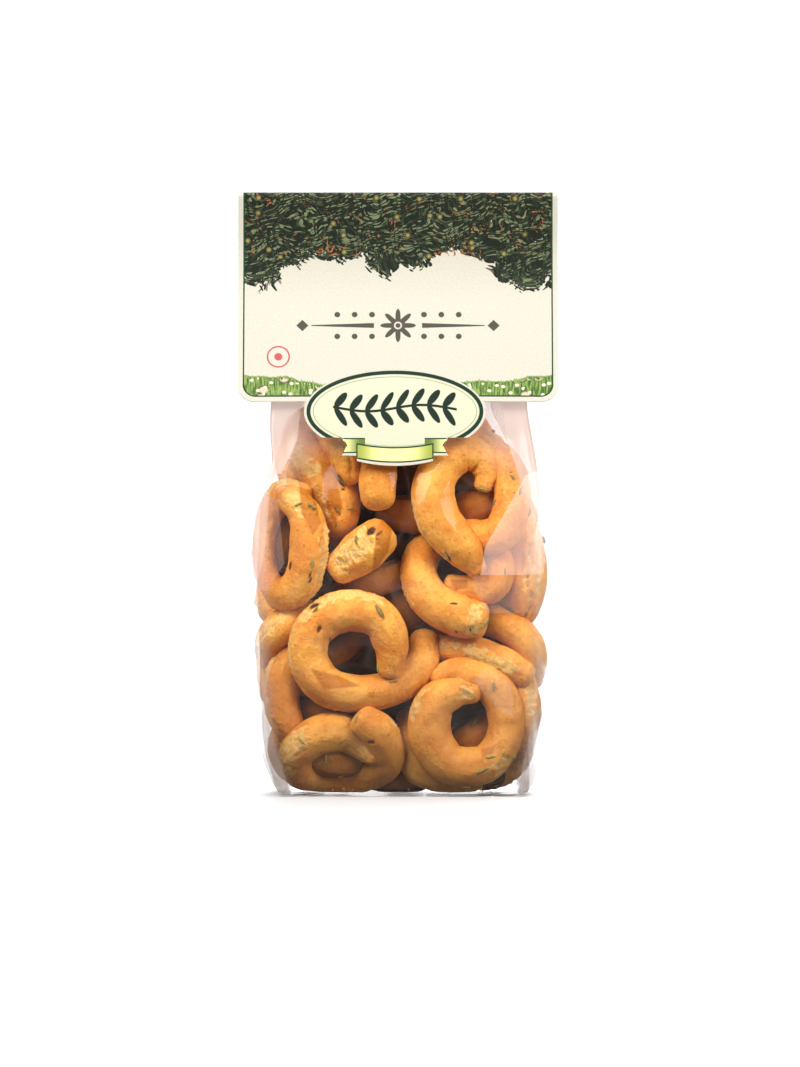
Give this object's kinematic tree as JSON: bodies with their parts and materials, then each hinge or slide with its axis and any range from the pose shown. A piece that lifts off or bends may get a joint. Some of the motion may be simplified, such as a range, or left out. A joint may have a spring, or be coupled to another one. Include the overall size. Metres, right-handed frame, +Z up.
{
  "type": "bag of taralli",
  "caption": "Clear block-bottom bag filled with ring-shaped taralli biscuits, its sides folded in and its neck pinched flat under a folded, die-cut header card.",
  "frame": {"origin": "middle of the object's bounding box on the plane of the bag's flat base", "axes": "+Z up from the base to the card's fold, +X to the right as seen from the shown side, the shown side faces -Y"},
  "size_m": [0.1152, 0.0626, 0.217],
  "materials": {
    "film": "clear crinkled film, glossy",
    "card": "printed board, smooth and matt, cream with green print",
    "taralli": "baked dough, satin, golden, with seeds"
  },
  "bodies": {
    "root": {"bag": "film", "header_card": "card"}
  },
  "joints": []
}
